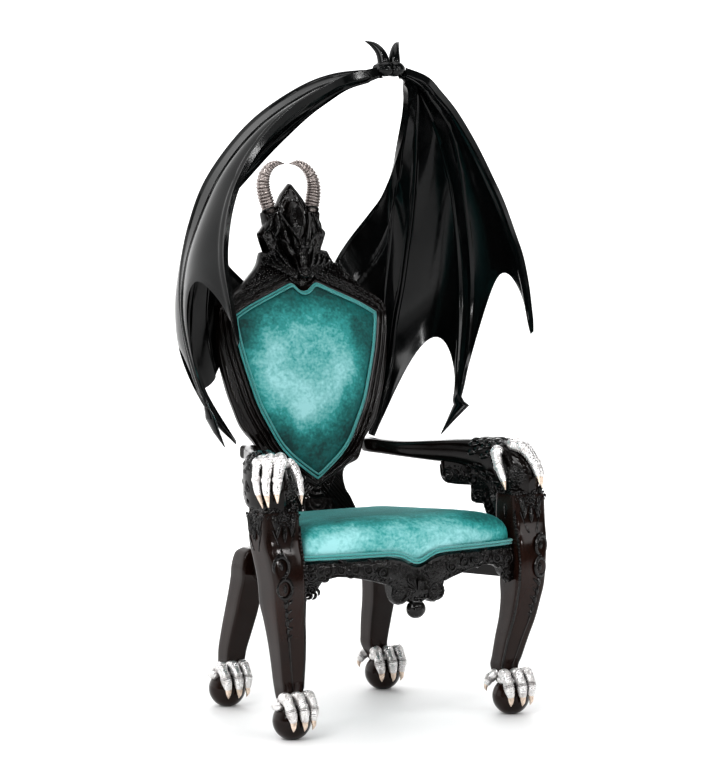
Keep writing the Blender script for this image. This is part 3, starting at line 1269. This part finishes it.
def shoulder_carving(shape):
    """Rows of small scrolls and beads along the shoulders of the frame, above the pad."""
    for side in (1, -1):
        for row, (offset, size) in enumerate(((0.014, 0.0068), (0.031, 0.0060))):
            for k in range(12):
                t = (k + 0.5) / 12
                x = lerp(0.045, 0.236, t)
                h = blend_value(((0.041, 0.643), (0.062, 0.636), (0.096, 0.621), (0.144, 0.601), (0.212, 0.568),
                                 (0.240, 0.552)), x) + offset
                limit = blend_value(((0.094, 0.735), (0.122, 0.702), (0.153, 0.672), (0.194, 0.637), (0.240, 0.607)), x)
                if h + size > limit:
                    continue

                def place(u, v, n):
                    return on_back(u, v, n + 0.007 + board_face(v))
                volute(shape, place, x * side, h, size, 1.3, side * (1 if k % 2 else -1), 0.7 * k, 0.0020, 0.001)
                flat_leaf(shape, place, x * side, h, math.radians(150 if side > 0 else 30), 0.014, 0.0035, 0.004)
    def crest_half(h):
        return blend_value(((0.732, 0.098), (0.739, 0.072), (0.756, 0.058), (0.776, 0.074), (0.788, 0.092),
                            (0.812, 0.084), (0.846, 0.084)), h)

    def shoulder_top(x):
        return blend_value(((0.094, 0.735), (0.122, 0.702), (0.153, 0.672), (0.194, 0.637), (0.240, 0.607),
                            (0.268, 0.589)), x)

    def pad_top(x):
        return blend_value(((0.0, 0.620), (0.041, 0.643), (0.062, 0.636), (0.096, 0.621), (0.144, 0.601),
                            (0.212, 0.568), (0.232, 0.556)), x)

    def on_shoulder(u, v):
        x = abs(u)
        if v > 0.735:
            return x < crest_half(v) - 0.006
        return pad_top(x) + 0.013 < v < shoulder_top(x) - 0.006 and x < 0.262

    def raised(u, v, n):
        return on_back(u, v, n + board_face(v) + 0.0058)
    knobs(shape, raised, (-0.262, 0.262, 0.575, 0.846), 0.0082, 0.0031, on_shoulder, 31)
    for side in (1, -1):
        rope = [on_back(side * x, h, 0.0135) for x, h in ((0.118, 0.158), (0.085, 0.134), (0.055, 0.117),
                                                          (0.030, 0.104), (0.001, 0.088))]
        route = curve_through(rope, 34)
        for k, where in enumerate(route):
            shape.oval(where - BACK_UP * 0.006 - BACK_FORWARD * 0.004, back_axes(0.0050, 0.0085, 0.0055, -35, side), 8, 6)


back = Shape()
back_panel(back)
build_object("back_board_carved", back, LACQUER, ("back_frame",), 50)
head = Shape()
dragon_head(head)
gable(head)
shoulder_carving(head)
build_object("dragon_crest", head, CARVED)


# Horns

HORN = ((0.0684, 0.8535, 0.0205), (0.0748, 0.878, 0.0212), (0.0805, 0.902, 0.0205), (0.0815, 0.926, 0.0190),
        (0.0745, 0.951, 0.0165), (0.0575, 0.972, 0.0130), (0.0340, 0.983, 0.0090), (0.0090, 0.982, 0.0022))
HORN_DEPTH = -0.026
HORN_RINGS = 20

horn = Shape()
horn_rows = spline_rows(HORN, 150)
horn_path = [on_back(x, h, HORN_DEPTH) for x, h, _ in horn_rows]
horn_radii = []
for i, (_, _, radius) in enumerate(horn_rows):
    t = i / (len(horn_rows) - 1)
    ridge = abs(math.sin(math.pi * HORN_RINGS * t)) ** 0.7
    horn_radii.append(radius * (0.83 + 0.24 * ridge * smooth_step(1.0, 0.85, t)))
horn.sweep(horn_path, horn_radii, 22, 0.85, BACK_FORWARD)
build_pair("SIDE_horn_ringed", horn, HORN_SILVER, "SIDE_horn", 60)


# Wings

LEADING = ((0.022, -0.260, 1.731), (0.075, -0.192, 1.710), (0.119, -0.129, 1.668), (0.155, -0.066, 1.617),
           (0.198, 0.034, 1.539), (0.227, 0.112, 1.472), (0.248, 0.190, 1.404), (0.243, 0.254, 1.350),
           (0.215, 0.318, 1.276), (0.180, 0.335, 1.218), (0.150, 0.310, 1.178), (0.124, 0.270, 1.142))
ELBOW = ((0.022, -0.257, 1.734), (0.100, -0.165, 1.698), (0.145, -0.100, 1.652), (0.182, -0.025, 1.598),
         (0.225, 0.060, 1.523), (0.255, 0.120, 1.455), (0.274, 0.172, 1.387), (0.286, 0.215, 1.250),
         (0.288, 0.245, 1.123), (0.284, 0.250, 1.020), (0.266, 0.238, 0.915))
FINGER_3 = ((0.024, -0.254, 1.737), (0.138, -0.145, 1.698), (0.189, -0.077, 1.641), (0.260, 0.039, 1.532),
            (0.301, 0.112, 1.434), (0.326, 0.165, 1.336), (0.339, 0.207, 1.240), (0.343, 0.238, 1.140),
            (0.337, 0.262, 1.041), (0.317, 0.264, 0.910), (0.273, 0.240, 0.800), (0.220, 0.206, 0.7275))
FINGER_2_BACK = ((0.026, -0.251, 1.740), (0.120, -0.145, 1.728), (0.204, -0.072, 1.682),
                 (0.298, 0.000, 1.594), (0.382, 0.058, 1.463), (0.424, 0.086, 1.338), (0.446, 0.100, 1.201),
                 (0.446, 0.096, 1.076), (0.424, 0.075, 0.932), (0.391, 0.043, 0.838))
FINGER_2_FRONT = ((0.028, -0.248, 1.743), (0.115, -0.190, 1.717), (0.197, -0.132, 1.677),
                  (0.306, -0.070, 1.588), (0.383, -0.007, 1.467), (0.432, 0.036, 1.327),
                  (0.459, 0.056, 1.203), (0.462, 0.060, 1.079), (0.438, 0.045, 0.948), (0.403, 0.026, 0.835))
FINGER_1 = ((0.030, -0.252, 1.746), (0.122, -0.226, 1.722), (0.184, -0.195, 1.686), (0.259, -0.159, 1.634),
            (0.339, -0.135, 1.547), (0.397, -0.132, 1.455), (0.429, -0.142, 1.386), (0.452, -0.158, 1.309),
            (0.466, -0.179, 1.242), (0.468, -0.204, 1.168), (0.466, -0.223, 1.101), (0.464, -0.240, 1.036))
FINGER_1_WIDTH = ((0.0, 0.008), (0.2, 0.034), (0.7, 0.030), (1.0, 0.011))
SCALLOP_1 = 0.248
SCALLOP_2 = 0.185
SCALLOP_3 = 0.130
SCALLOP_ROUND = 0.50
WEB_BULGE = 0.10
WING_START = 0.016
FINGER_HALF_WIDTH = 0.010
WING_ROWS = 110
SKIN_HALF = 0.0032
RIB_HALF = 0.0095
RIB_WIDTH = 0.0075
# The brace that crosses the first web from the elbow towards the root
BRACE_START = 0.56
BRACE_SLOPE = 1.9


def bone_reader(points):
    dense = curve_through(points, 161)

    def at(v):
        place = min(max(v, 0.0), 1.0) * 160
        k = min(int(place), 159)
        return dense[k].lerp(dense[k + 1], place - k)
    return at


def scallop(depth, s):
    return 1.0 - depth * math.sin(math.pi * s) ** SCALLOP_ROUND if 0 < s < 1 else 1.0


def even(count):
    return [(1 - math.cos(math.pi * i / count)) / 2 for i in range(count + 1)]


def wing_bands():
    leading = bone_reader(LEADING)
    elbow = bone_reader(ELBOW)
    third = bone_reader(FINGER_3)
    second_back = bone_reader(FINGER_2_BACK)
    second_front = bone_reader(FINGER_2_FRONT)
    first = bone_reader(FINGER_1)

    def third_edge(sign):
        def at(v):
            across = (second_back(v) - elbow(v)).normalized()
            return third(v) + across * sign * FINGER_HALF_WIDTH * min(1.0, v / 0.2)
        return at

    def first_inner(v):
        across = (second_front(v) - first(v)).normalized()
        return first(v) + across * blend_value(FINGER_1_WIDTH, v)

    third_in = third_edge(-1)
    third_out = third_edge(1)
    # from, to, shares across, edge rule, bulge, ribs at: start, middle, end
    return (
        (leading, elbow, even(36), lambda s: 1.0, 0.0, (1.0, 0.0, 1.0)),
        (elbow, third_in, even(12), lambda s: 1.0 - SCALLOP_3 * s if s < 0.97 else 1.0, 0.02, (1.0, 0.0, 0.0)),
        (third_in, third_out, even(12), lambda s: 1.0, 0.0, (0.0, 1.0, 0.0)),
        (third_out, second_back, even(26), lambda s: scallop(SCALLOP_2, s), WEB_BULGE, (0.0, 0.0, 0.9)),
        (second_back, second_front, even(12), lambda s: 1.0, 0.0, (0.9, 0.0, 0.9)),
        (second_front, first_inner, even(26), lambda s: scallop(SCALLOP_1, s), WEB_BULGE, (0.9, 0.0, 0.6)),
        (first_inner, first, even(8), lambda s: 1.0, 0.0, (0.6, 0.0, 1.0)),
    )


def wing_skin(shape):
    columns = []
    halves = []
    for number, (start, end, shares, edge, bulge, ribs) in enumerate(wing_bands()):
        for s in shares:
            if s == 0.0 and number > 0:
                continue
            column = []
            half = []
            for row in range(WING_ROWS + 1):
                t = row / WING_ROWS
                v = lerp(WING_START, edge(s), t)
                a = start(v)
                b = end(v)
                width = (b - a).length
                point = a.lerp(b, s)
                outward = Vector((point.x, point.y + 0.10, 0)).normalized()
                point = point + outward * bulge * math.sin(math.pi * s) * width
                column.append(point)
                rib = 0.0
                reach = min(RIB_WIDTH, width * 0.30)
                for at, size in zip((0.0, 0.5, 1.0), ribs):
                    distance = abs(s - at) * width
                    if distance < reach:
                        rib = max(rib, size * math.sqrt(1 - (distance / reach) ** 2))
                if number == 0 and v > BRACE_START:
                    distance = abs(s - 1.0 + BRACE_SLOPE * (v - BRACE_START)) * width
                    if distance < RIB_WIDTH:
                        rib = max(rib, 0.8 * math.sqrt(1 - (distance / RIB_WIDTH) ** 2))
                thin = lerp(1.0, 0.62, v)
                rounded = math.sqrt(max(0.05, min(1.0, (1 - t) * 26)))
                half.append((SKIN_HALF + (RIB_HALF - SKIN_HALF) * rib) * thin * rounded)
            columns.append(column)
            halves.append(half)
    wide = len(columns)
    tall = WING_ROWS + 1
    front = []
    behind = []
    normals = []
    for i in range(wide):
        for r in range(tall):
            across = columns[min(i + 4, wide - 1)][r] - columns[max(i - 4, 0)][r]
            down = columns[i][min(r + 3, tall - 1)] - columns[i][max(r - 3, 0)]
            normals.append(across.cross(down).normalized())
    for _ in range(4):
        calm = []
        for i in range(wide):
            for r in range(tall):
                total = normals[i * tall + r] * 2
                for j, q in ((i - 1, r), (i + 1, r), (i, r - 1), (i, r + 1)):
                    if 0 <= j < wide and 0 <= q < tall:
                        total += normals[j * tall + q]
                calm.append(total.normalized())
        normals = calm
    for i in range(wide):
        for r in range(tall):
            offset = normals[i * tall + r] * halves[i][r]
            front.append(columns[i][r] + offset)
            behind.append(columns[i][r] - offset)
    shape.sheet(front, behind, wide, tall)


KNUCKLE_MIDDLE = (-0.232, 1.748)
KNUCKLE = ((0.0010, 0.021, 0.016), (0.004, 0.024, 0.019), (0.014, 0.026, 0.021), (0.028, 0.024, 0.019), (0.040, 0.017, 0.011))
SPIKE = ((0.017, -0.233, 1.755, 0.0162), (0.018, -0.231, 1.775, 0.0155), (0.024, -0.224, 1.795, 0.0125),
         (0.036, -0.212, 1.811, 0.0085), (0.053, -0.199, 1.821, 0.0012))
BARB = (((0.402, 0.044, 0.846), 0.012, 0.0065), ((0.400, 0.033, 0.828), 0.020, 0.0105),
        ((0.403, 0.022, 0.818), 0.028, 0.0120), ((0.377, 0.034, 0.778), 0.013, 0.0090),
        ((0.348, 0.042, 0.737), 0.0015, 0.0015))


def wing_tip(shape):
    """The clasped knuckle over the sitter, with its curved spike, and the arrowhead below."""
    rings = []
    for x, deep, tall in spline_rows(KNUCKLE, 14):
        rings.append([Vector((x, KNUCKLE_MIDDLE[0] + deep * math.copysign(abs(math.cos(a)) ** 0.8, math.cos(a)),
                              KNUCKLE_MIDDLE[1] + tall * math.copysign(abs(math.sin(a)) ** 0.8, math.sin(a))))
                      for a in (2 * math.pi * k / 24 for k in range(24))])
    shape.loft(rings)
    rows = spline_rows(SPIKE, 24)
    shape.sweep([Vector(row[:3]) for row in rows], [max(0.0008, row[3]) for row in rows], 16, 1.0, Vector((0, 1, 0)))
    wide = Vector((0.25, -0.97, 0)).normalized()
    thick = Vector((-wide.y, wide.x, 0))
    rings = []
    for middle, half_width, half_thick in BARB:
        centre = Vector(middle)
        rings.append([centre + wide * half_width * math.cos(a)
                      + thick * half_thick * math.sin(a)
                      for a in (2 * math.pi * k / 16 for k in range(16))])
    shape.loft(rings)


wing = Shape()
wing_skin(wing)
wing_tip(wing)
build_pair("SIDE_wing_skin", wing, WING_SKIN, "SIDE_wing", 38)


# Cushions

SEAT_OUTLINE = (
    (0.000, -0.378), (0.030, -0.3778), (0.060, -0.377), (0.090, -0.375), (0.120, -0.373), (0.180, -0.366),
    (0.240, -0.357), (0.290, -0.347), (0.322, -0.338), (0.3328, -0.322), (0.3328, -0.255), (0.318, -0.200),
    (0.282, -0.090), (0.246, 0.020), (0.222, 0.092), (0.205, 0.110), (0.120, 0.114), (0.000, 0.116),
)
SEAT_MIDDLE = Vector((0.0, -0.130, 0.0))
SEAT_SIDE = ((0.980, 0.002), (0.996, 0.010), (0.996, 0.024))
SEAT_CROWN = ((0.985, 0.506), (0.955, 0.522), (0.90, 0.535), (0.80, 0.544), (0.65, 0.550), (0.45, 0.554),
              (0.2, 0.556))
SEAT_FALL = 0.042
FRONT_SEAM = 0.0018


def seat_outline():
    half = list(SEAT_OUTLINE)
    whole = half + [(-x, y) for x, y in reversed(half[1:-1])]
    return smooth_closed([(x, y, 0.0) for x, y in whole], 8, 0.6)


def seat_bottom(x, y):
    near_front = blend_value(((-0.340, 1.0), (-0.200, 0.0)), y)
    return SEAT_RAIL_TOP + GAP + (FRONT_SEAM - SEAT_RAIL_TOP + seat_edge(x)) * near_front


def seat_pad(shape):
    outline = seat_outline()
    rings = []
    for share in (0.5, 0.80, 0.94):
        ring = []
        for q in outline:
            p = SEAT_MIDDLE.lerp(q, share)
            ring.append(Vector((p.x, p.y, seat_bottom(p.x, p.y))))
        rings.append(ring)
    for share, rise in SEAT_SIDE:
        rings.append([Vector((*SEAT_MIDDLE.lerp(q, share).xy, seat_bottom(q.x, q.y) + rise)) for q in outline])
    for share, height in SEAT_CROWN:
        ring = []
        for q in outline:
            p = SEAT_MIDDLE.lerp(q, share)
            ring.append(Vector((p.x, p.y, height - SEAT_FALL * (p.y - SEAT_MIDDLE.y))))
        rings.append(ring)
    shape.loft(rings)


BACK_PAD_RINGS = ((0.985, -0.008), (0.992, 0.004), (0.980, 0.012), (0.95, 0.0175), (0.88, 0.0215), (0.76, 0.0250),
                  (0.60, 0.0275), (0.40, 0.029), (0.2, 0.0295))
PAD_MIDDLE_HEIGHT = 0.430


def back_pad(shape):
    rings = []
    for share, height in BACK_PAD_RINGS:
        rings.append([on_back(p.x * share, lerp(PAD_MIDDLE_HEIGHT, p.y, share), height) for p in PAD_EDGE])
    shape.loft(rings)


def inflate(pad, voxel, pressure, cap):
    """Fill a pad like stuffing does, with a short cloth simulation, then smooth it once."""
    remesh = pad.modifiers.new("Remesh", "REMESH")
    remesh.mode = "VOXEL"
    remesh.voxel_size = voxel
    depsgraph = bpy.context.evaluated_depsgraph_get()
    mesh = bpy.data.meshes.new_from_object(pad.evaluated_get(depsgraph))
    pad.modifiers.clear()
    pad.data = mesh
    start = [v.co.copy() for v in mesh.vertices]
    cloth = pad.modifiers.new("Cloth", "CLOTH")
    cloth.settings.use_pressure = True
    cloth.settings.uniform_pressure_force = pressure
    cloth.settings.quality = 4
    cloth.settings.effector_weights.gravity = 0.0
    cloth.settings.mass = 0.3
    cloth.point_cache.frame_start = 1
    cloth.point_cache.frame_end = 20
    for number in range(1, 21):
        bpy.context.scene.frame_set(number)
    depsgraph = bpy.context.evaluated_depsgraph_get()
    swollen = [v.co.copy() for v in pad.evaluated_get(depsgraph).data.vertices]
    pad.modifiers.clear()
    bpy.context.scene.frame_set(1)
    for vertex, before, after in zip(mesh.vertices, start, swollen):
        move = after - before
        if move.length > cap:
            move = move.normalized() * cap
        vertex.co = before + move
    smoother = pad.modifiers.new("Smooth", "SMOOTH")
    smoother.factor = 0.5
    smoother.iterations = 4
    finer = pad.modifiers.new("Finer", "SUBSURF")
    finer.levels = 1
    finer.render_levels = 1
    depsgraph = bpy.context.evaluated_depsgraph_get()
    smooth = bpy.data.meshes.new_from_object(pad.evaluated_get(depsgraph))
    pad.modifiers.clear()
    pad.data = smooth
    smooth.shade_smooth()


seat = Shape()
seat_pad(seat)
seat_cushion = build_object("seat_cushion_velvet", seat, SEAT_VELVET, ("seat_cushion",))
inflate(seat_cushion, 0.0077, 4.0, 0.006)
rest = Shape()
back_pad(rest)
back_cushion = build_object("back_cushion_velvet", rest, BACK_VELVET, ("back_cushion",))
inflate(back_cushion, 0.0059, 4.0, 0.005)


def closed_cord(shape, points, radius, sides=8):
    """A cord laid round a closed line."""
    count = len(points)
    verts = []
    faces = []
    for i, point in enumerate(points):
        along = (points[(i + 1) % count] - points[i - 1]).normalized()
        across = along.cross(BACK_FORWARD if abs(along.dot(UP)) > 0.9 else UP).normalized()
        other = across.cross(along)
        for k in range(sides):
            angle = 2 * math.pi * k / sides
            verts.append(point + across * math.cos(angle) * radius + other * math.sin(angle) * radius)
            j = (i + 1) % count
            faces.append((i * sides + k, i * sides + (k + 1) % sides, j * sides + (k + 1) % sides, j * sides + k))
    shape.add(verts, faces)


back_piping = Shape()
for share, height, radius in ((0.984, 0.0145, 0.0034), (0.955, 0.0195, 0.0030)):
    closed_cord(back_piping, [on_back(p.x * share, lerp(PAD_MIDDLE_HEIGHT, p.y, share), height) for p in PAD_EDGE],
                radius)
build_object("back_cushion_piping", back_piping, PIPING)
seat_piping = Shape()
outline = seat_outline()
for lift, share in ((0.0045, 0.999), (0.0120, 1.004)):
    closed_cord(seat_piping, [Vector((*SEAT_MIDDLE.lerp(q, share).xy, seat_bottom(q.x, q.y) + lift)) for q in outline],
                0.0033)
build_object("seat_cushion_piping", seat_piping, PIPING)


# Rails that keep their CAD shape

for node in ("back_rail", "left_side_rail", "right_side_rail"):
    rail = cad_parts[node]
    rail.data.materials.clear()
    rail.data.materials.append(LACQUER)


# Stage, light and camera

def stage_material(name, colour):
    """Pale floor that runs up to white a few metres off, like a paper sweep."""
    made, tree, shader = new_material(name)
    spot = tree.nodes.new("ShaderNodeTexCoord")
    near = tree.nodes.new("ShaderNodeVectorMath")
    near.operation = "LENGTH"
    tree.links.new(spot.outputs["Object"], near.inputs[0])
    rise = ramp(tree, maths(tree, "MULTIPLY", near.outputs["Value"], 0.1), ((0.10, grey(0.0)), (0.32, grey(0.45))))
    tree.links.new(rise.outputs["Color"], shader.inputs["Emission Strength"])
    shader.inputs["Emission Color"].default_value = (1.0, 1.0, 1.0, 1.0)
    tone = texture(tree, "ShaderNodeTexNoise", 1.5, 2.0)
    wash = ramp(tree, tone.outputs["Fac"], ((0.0, tuple(c * 0.985 for c in colour)), (1.0, colour)))
    tree.links.new(wash.outputs["Color"], shader.inputs["Base Color"])
    shader.inputs["Roughness"].default_value = 0.6
    return made


floor_mesh = bpy.data.meshes.new("floor")
reach = 40.0
floor_mesh.from_pydata([(-reach, -reach, 0), (reach, -reach, 0), (reach, reach, 0), (-reach, reach, 0)], [], [(0, 1, 2, 3)])
floor = bpy.data.objects.new("floor", floor_mesh)
bpy.context.scene.collection.objects.link(floor)
floor_mesh.materials.append(stage_material("pale_floor", (0.93, 0.93, 0.93)))


def area_light(name, place, target, size, power, colour=(1, 1, 1)):
    data = bpy.data.lights.new(name, "AREA")
    data.shape = "RECTANGLE"
    data.size = size[0]
    data.size_y = size[1]
    data.energy = power
    data.color = colour
    made = bpy.data.objects.new(name, data)
    made.location = place
    made.rotation_euler = (Vector(target) - Vector(place)).to_track_quat("-Z", "Y").to_euler()
    bpy.context.scene.collection.objects.link(made)


area_light("key", (-3.4, -2.4, 3.2), (0, 0, 0.9), (2.0, 2.4), 88)
area_light("fill", (2.6, -3.4, 2.2), (0, 0, 0.9), (1.2, 1.8), 20)
area_light("top", (0.2, -0.6, 4.2), (0, 0, 0.8), (2.2, 2.2), 30)
area_light("back", (1.6, 3.2, 2.6), (0, 0, 1.0), (2.0, 2.0), 22)
SPARKLES = ((-2.6, -3.4, 2.6), (-0.4, -4.2, 2.9), (1.9, -3.9, 3.0), (-3.6, -1.4, 1.6), (0.8, -3.6, 1.4),
            (-1.6, -2.8, 3.8))
for number, place in enumerate(SPARKLES):
    area_light("sparkle_" + str(number), place, (0, 0, 0.9), (0.20, 0.20), 12)

world = bpy.data.worlds.new("studio")
bpy.context.scene.world = world
world.use_nodes = True
sky = world.node_tree.nodes["Background"]
# A white wall behind the chair and a dimmer room in front of it
facing = world.node_tree.nodes.new("ShaderNodeTexCoord")
split = world.node_tree.nodes.new("ShaderNodeSeparateXYZ")
world.node_tree.links.new(facing.outputs["Generated"], split.inputs["Vector"])
room = ramp(world.node_tree, maths(world.node_tree, "ADD", maths(world.node_tree, "MULTIPLY", split.outputs["Y"], 0.5), 0.5),
            ((0.42, grey(0.07)), (0.72, grey(1.0))))
world.node_tree.links.new(room.outputs["Color"], sky.inputs["Color"])
sky.inputs["Strength"].default_value = 1.4
bpy.context.scene.view_settings.view_transform = "Standard"
bpy.context.scene.view_settings.look = "Medium High Contrast"

CAMERA_PLACE = Vector((-4.477, -7.308 + FORWARD_SHIFT, 1.582))
CAMERA_TURN = math.radians(31.8)
CAMERA_DROP = math.radians(4.7)
FOCAL_PIXELS = 3147.0
IMAGE_HEIGHT = 781.0
SENSOR = 36.0
camera_data = bpy.data.cameras.new("camera")
camera_data.sensor_width = SENSOR
camera_data.lens = FOCAL_PIXELS * SENSOR / IMAGE_HEIGHT
camera_data.clip_end = 100.0
camera = bpy.data.objects.new("camera", camera_data)
bpy.context.scene.collection.objects.link(camera)
forward = Vector((math.sin(CAMERA_TURN) * math.cos(CAMERA_DROP), math.cos(CAMERA_TURN) * math.cos(CAMERA_DROP),
                  -math.sin(CAMERA_DROP)))
right = Vector((math.cos(CAMERA_TURN), -math.sin(CAMERA_TURN), 0))
camera_up = right.cross(forward)
camera.matrix_world = Matrix((
    (right.x, camera_up.x, -forward.x, CAMERA_PLACE.x), (right.y, camera_up.y, -forward.y, CAMERA_PLACE.y),
    (right.z, camera_up.z, -forward.z, CAMERA_PLACE.z), (0, 0, 0, 1)))
bpy.context.scene.camera = camera
